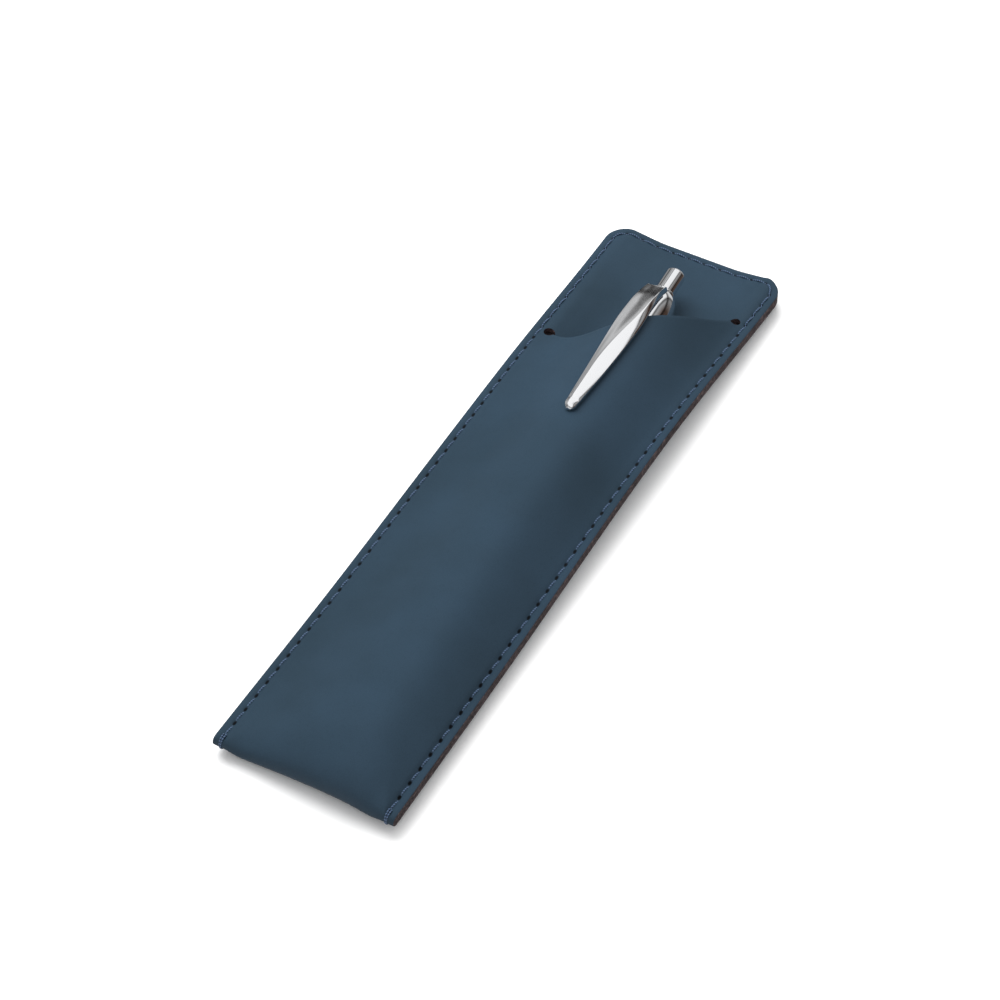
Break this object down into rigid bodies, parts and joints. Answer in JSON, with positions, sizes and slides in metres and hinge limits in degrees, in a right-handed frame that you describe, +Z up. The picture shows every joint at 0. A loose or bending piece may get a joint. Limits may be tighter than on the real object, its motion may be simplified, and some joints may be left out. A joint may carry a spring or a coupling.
{
  "type": "single pen sleeve",
  "caption": "Folded blue leather pen sleeve with stitched edges and a slanted slit mouth, holding a click pen that draws out.",
  "frame": {"origin": "middle of the sleeve's length and width, on the surface it lies on", "axes": "+Y towards the top edge, +X to the right seen from the front, +Z up out of the front face"},
  "size_m": [0.0398, 0.159, 0.0162],
  "materials": {
    "leather": "satin",
    "thread": "matte",
    "plated_metal": "mirror polish",
    "brass": "satin",
    "pale_plastic": "matte",
    "clear_plastic": "gloss",
    "ink": "gloss",
    "spring_steel": "satin"
  },
  "bodies": {
    "sleeve": {"front_panel": "leather", "back_panel": "leather", "needle_thread": "thread", "bobbin_thread": "thread"},
    "pen": {"nose_cone": "plated_metal", "lower_barrel": "plated_metal", "barrel_coupler": "brass", "trim_ring": "plated_metal", "upper_barrel": "plated_metal", "top_collar": "plated_metal", "cam_sleeve": "pale_plastic", "return_spring": "spring_steel"},
    "clip": {"clip": "plated_metal"},
    "button": {"push_button": "plated_metal", "cam_plunger": "pale_plastic"},
    "refill": {"index_rotor": "pale_plastic", "refill_tube": "clear_plastic", "ink_column": "ink", "refill_point": "brass", "writing_ball": "spring_steel"}
  },
  "joints": [
    {"name": "pen_draw", "type": "slide", "parent": "sleeve", "child": "pen", "axis": [-0.0436, 0.9988, 0.0227], "range_m": [0, 0.158]},
    {"name": "clip_lift", "type": "hinge", "parent": "pen", "child": "clip", "pos_m": [0.00091, 0.05602, 0.01216], "axis": [-0.999, -0.0436, 0], "range_deg": [0, 4], "stiffness_Nm_per_rad": 0.05, "springref_deg": -2.86},
    {"name": "button_press", "type": "slide", "parent": "pen", "child": "button", "axis": [0.0436, -0.9988, -0.0227], "range_m": [0, 0.004], "stiffness_N_per_m": 150, "springref_m": -0.008},
    {"name": "refill_advance", "type": "slide", "parent": "pen", "child": "refill", "axis": [0.0436, -0.9988, -0.0227], "range_m": [0, 0.004], "deforming": ["return_spring"]}
  ],
  "couplings": [
    {"joint": "refill_advance", "follows": "button_press", "ratio": 1}
  ]
}
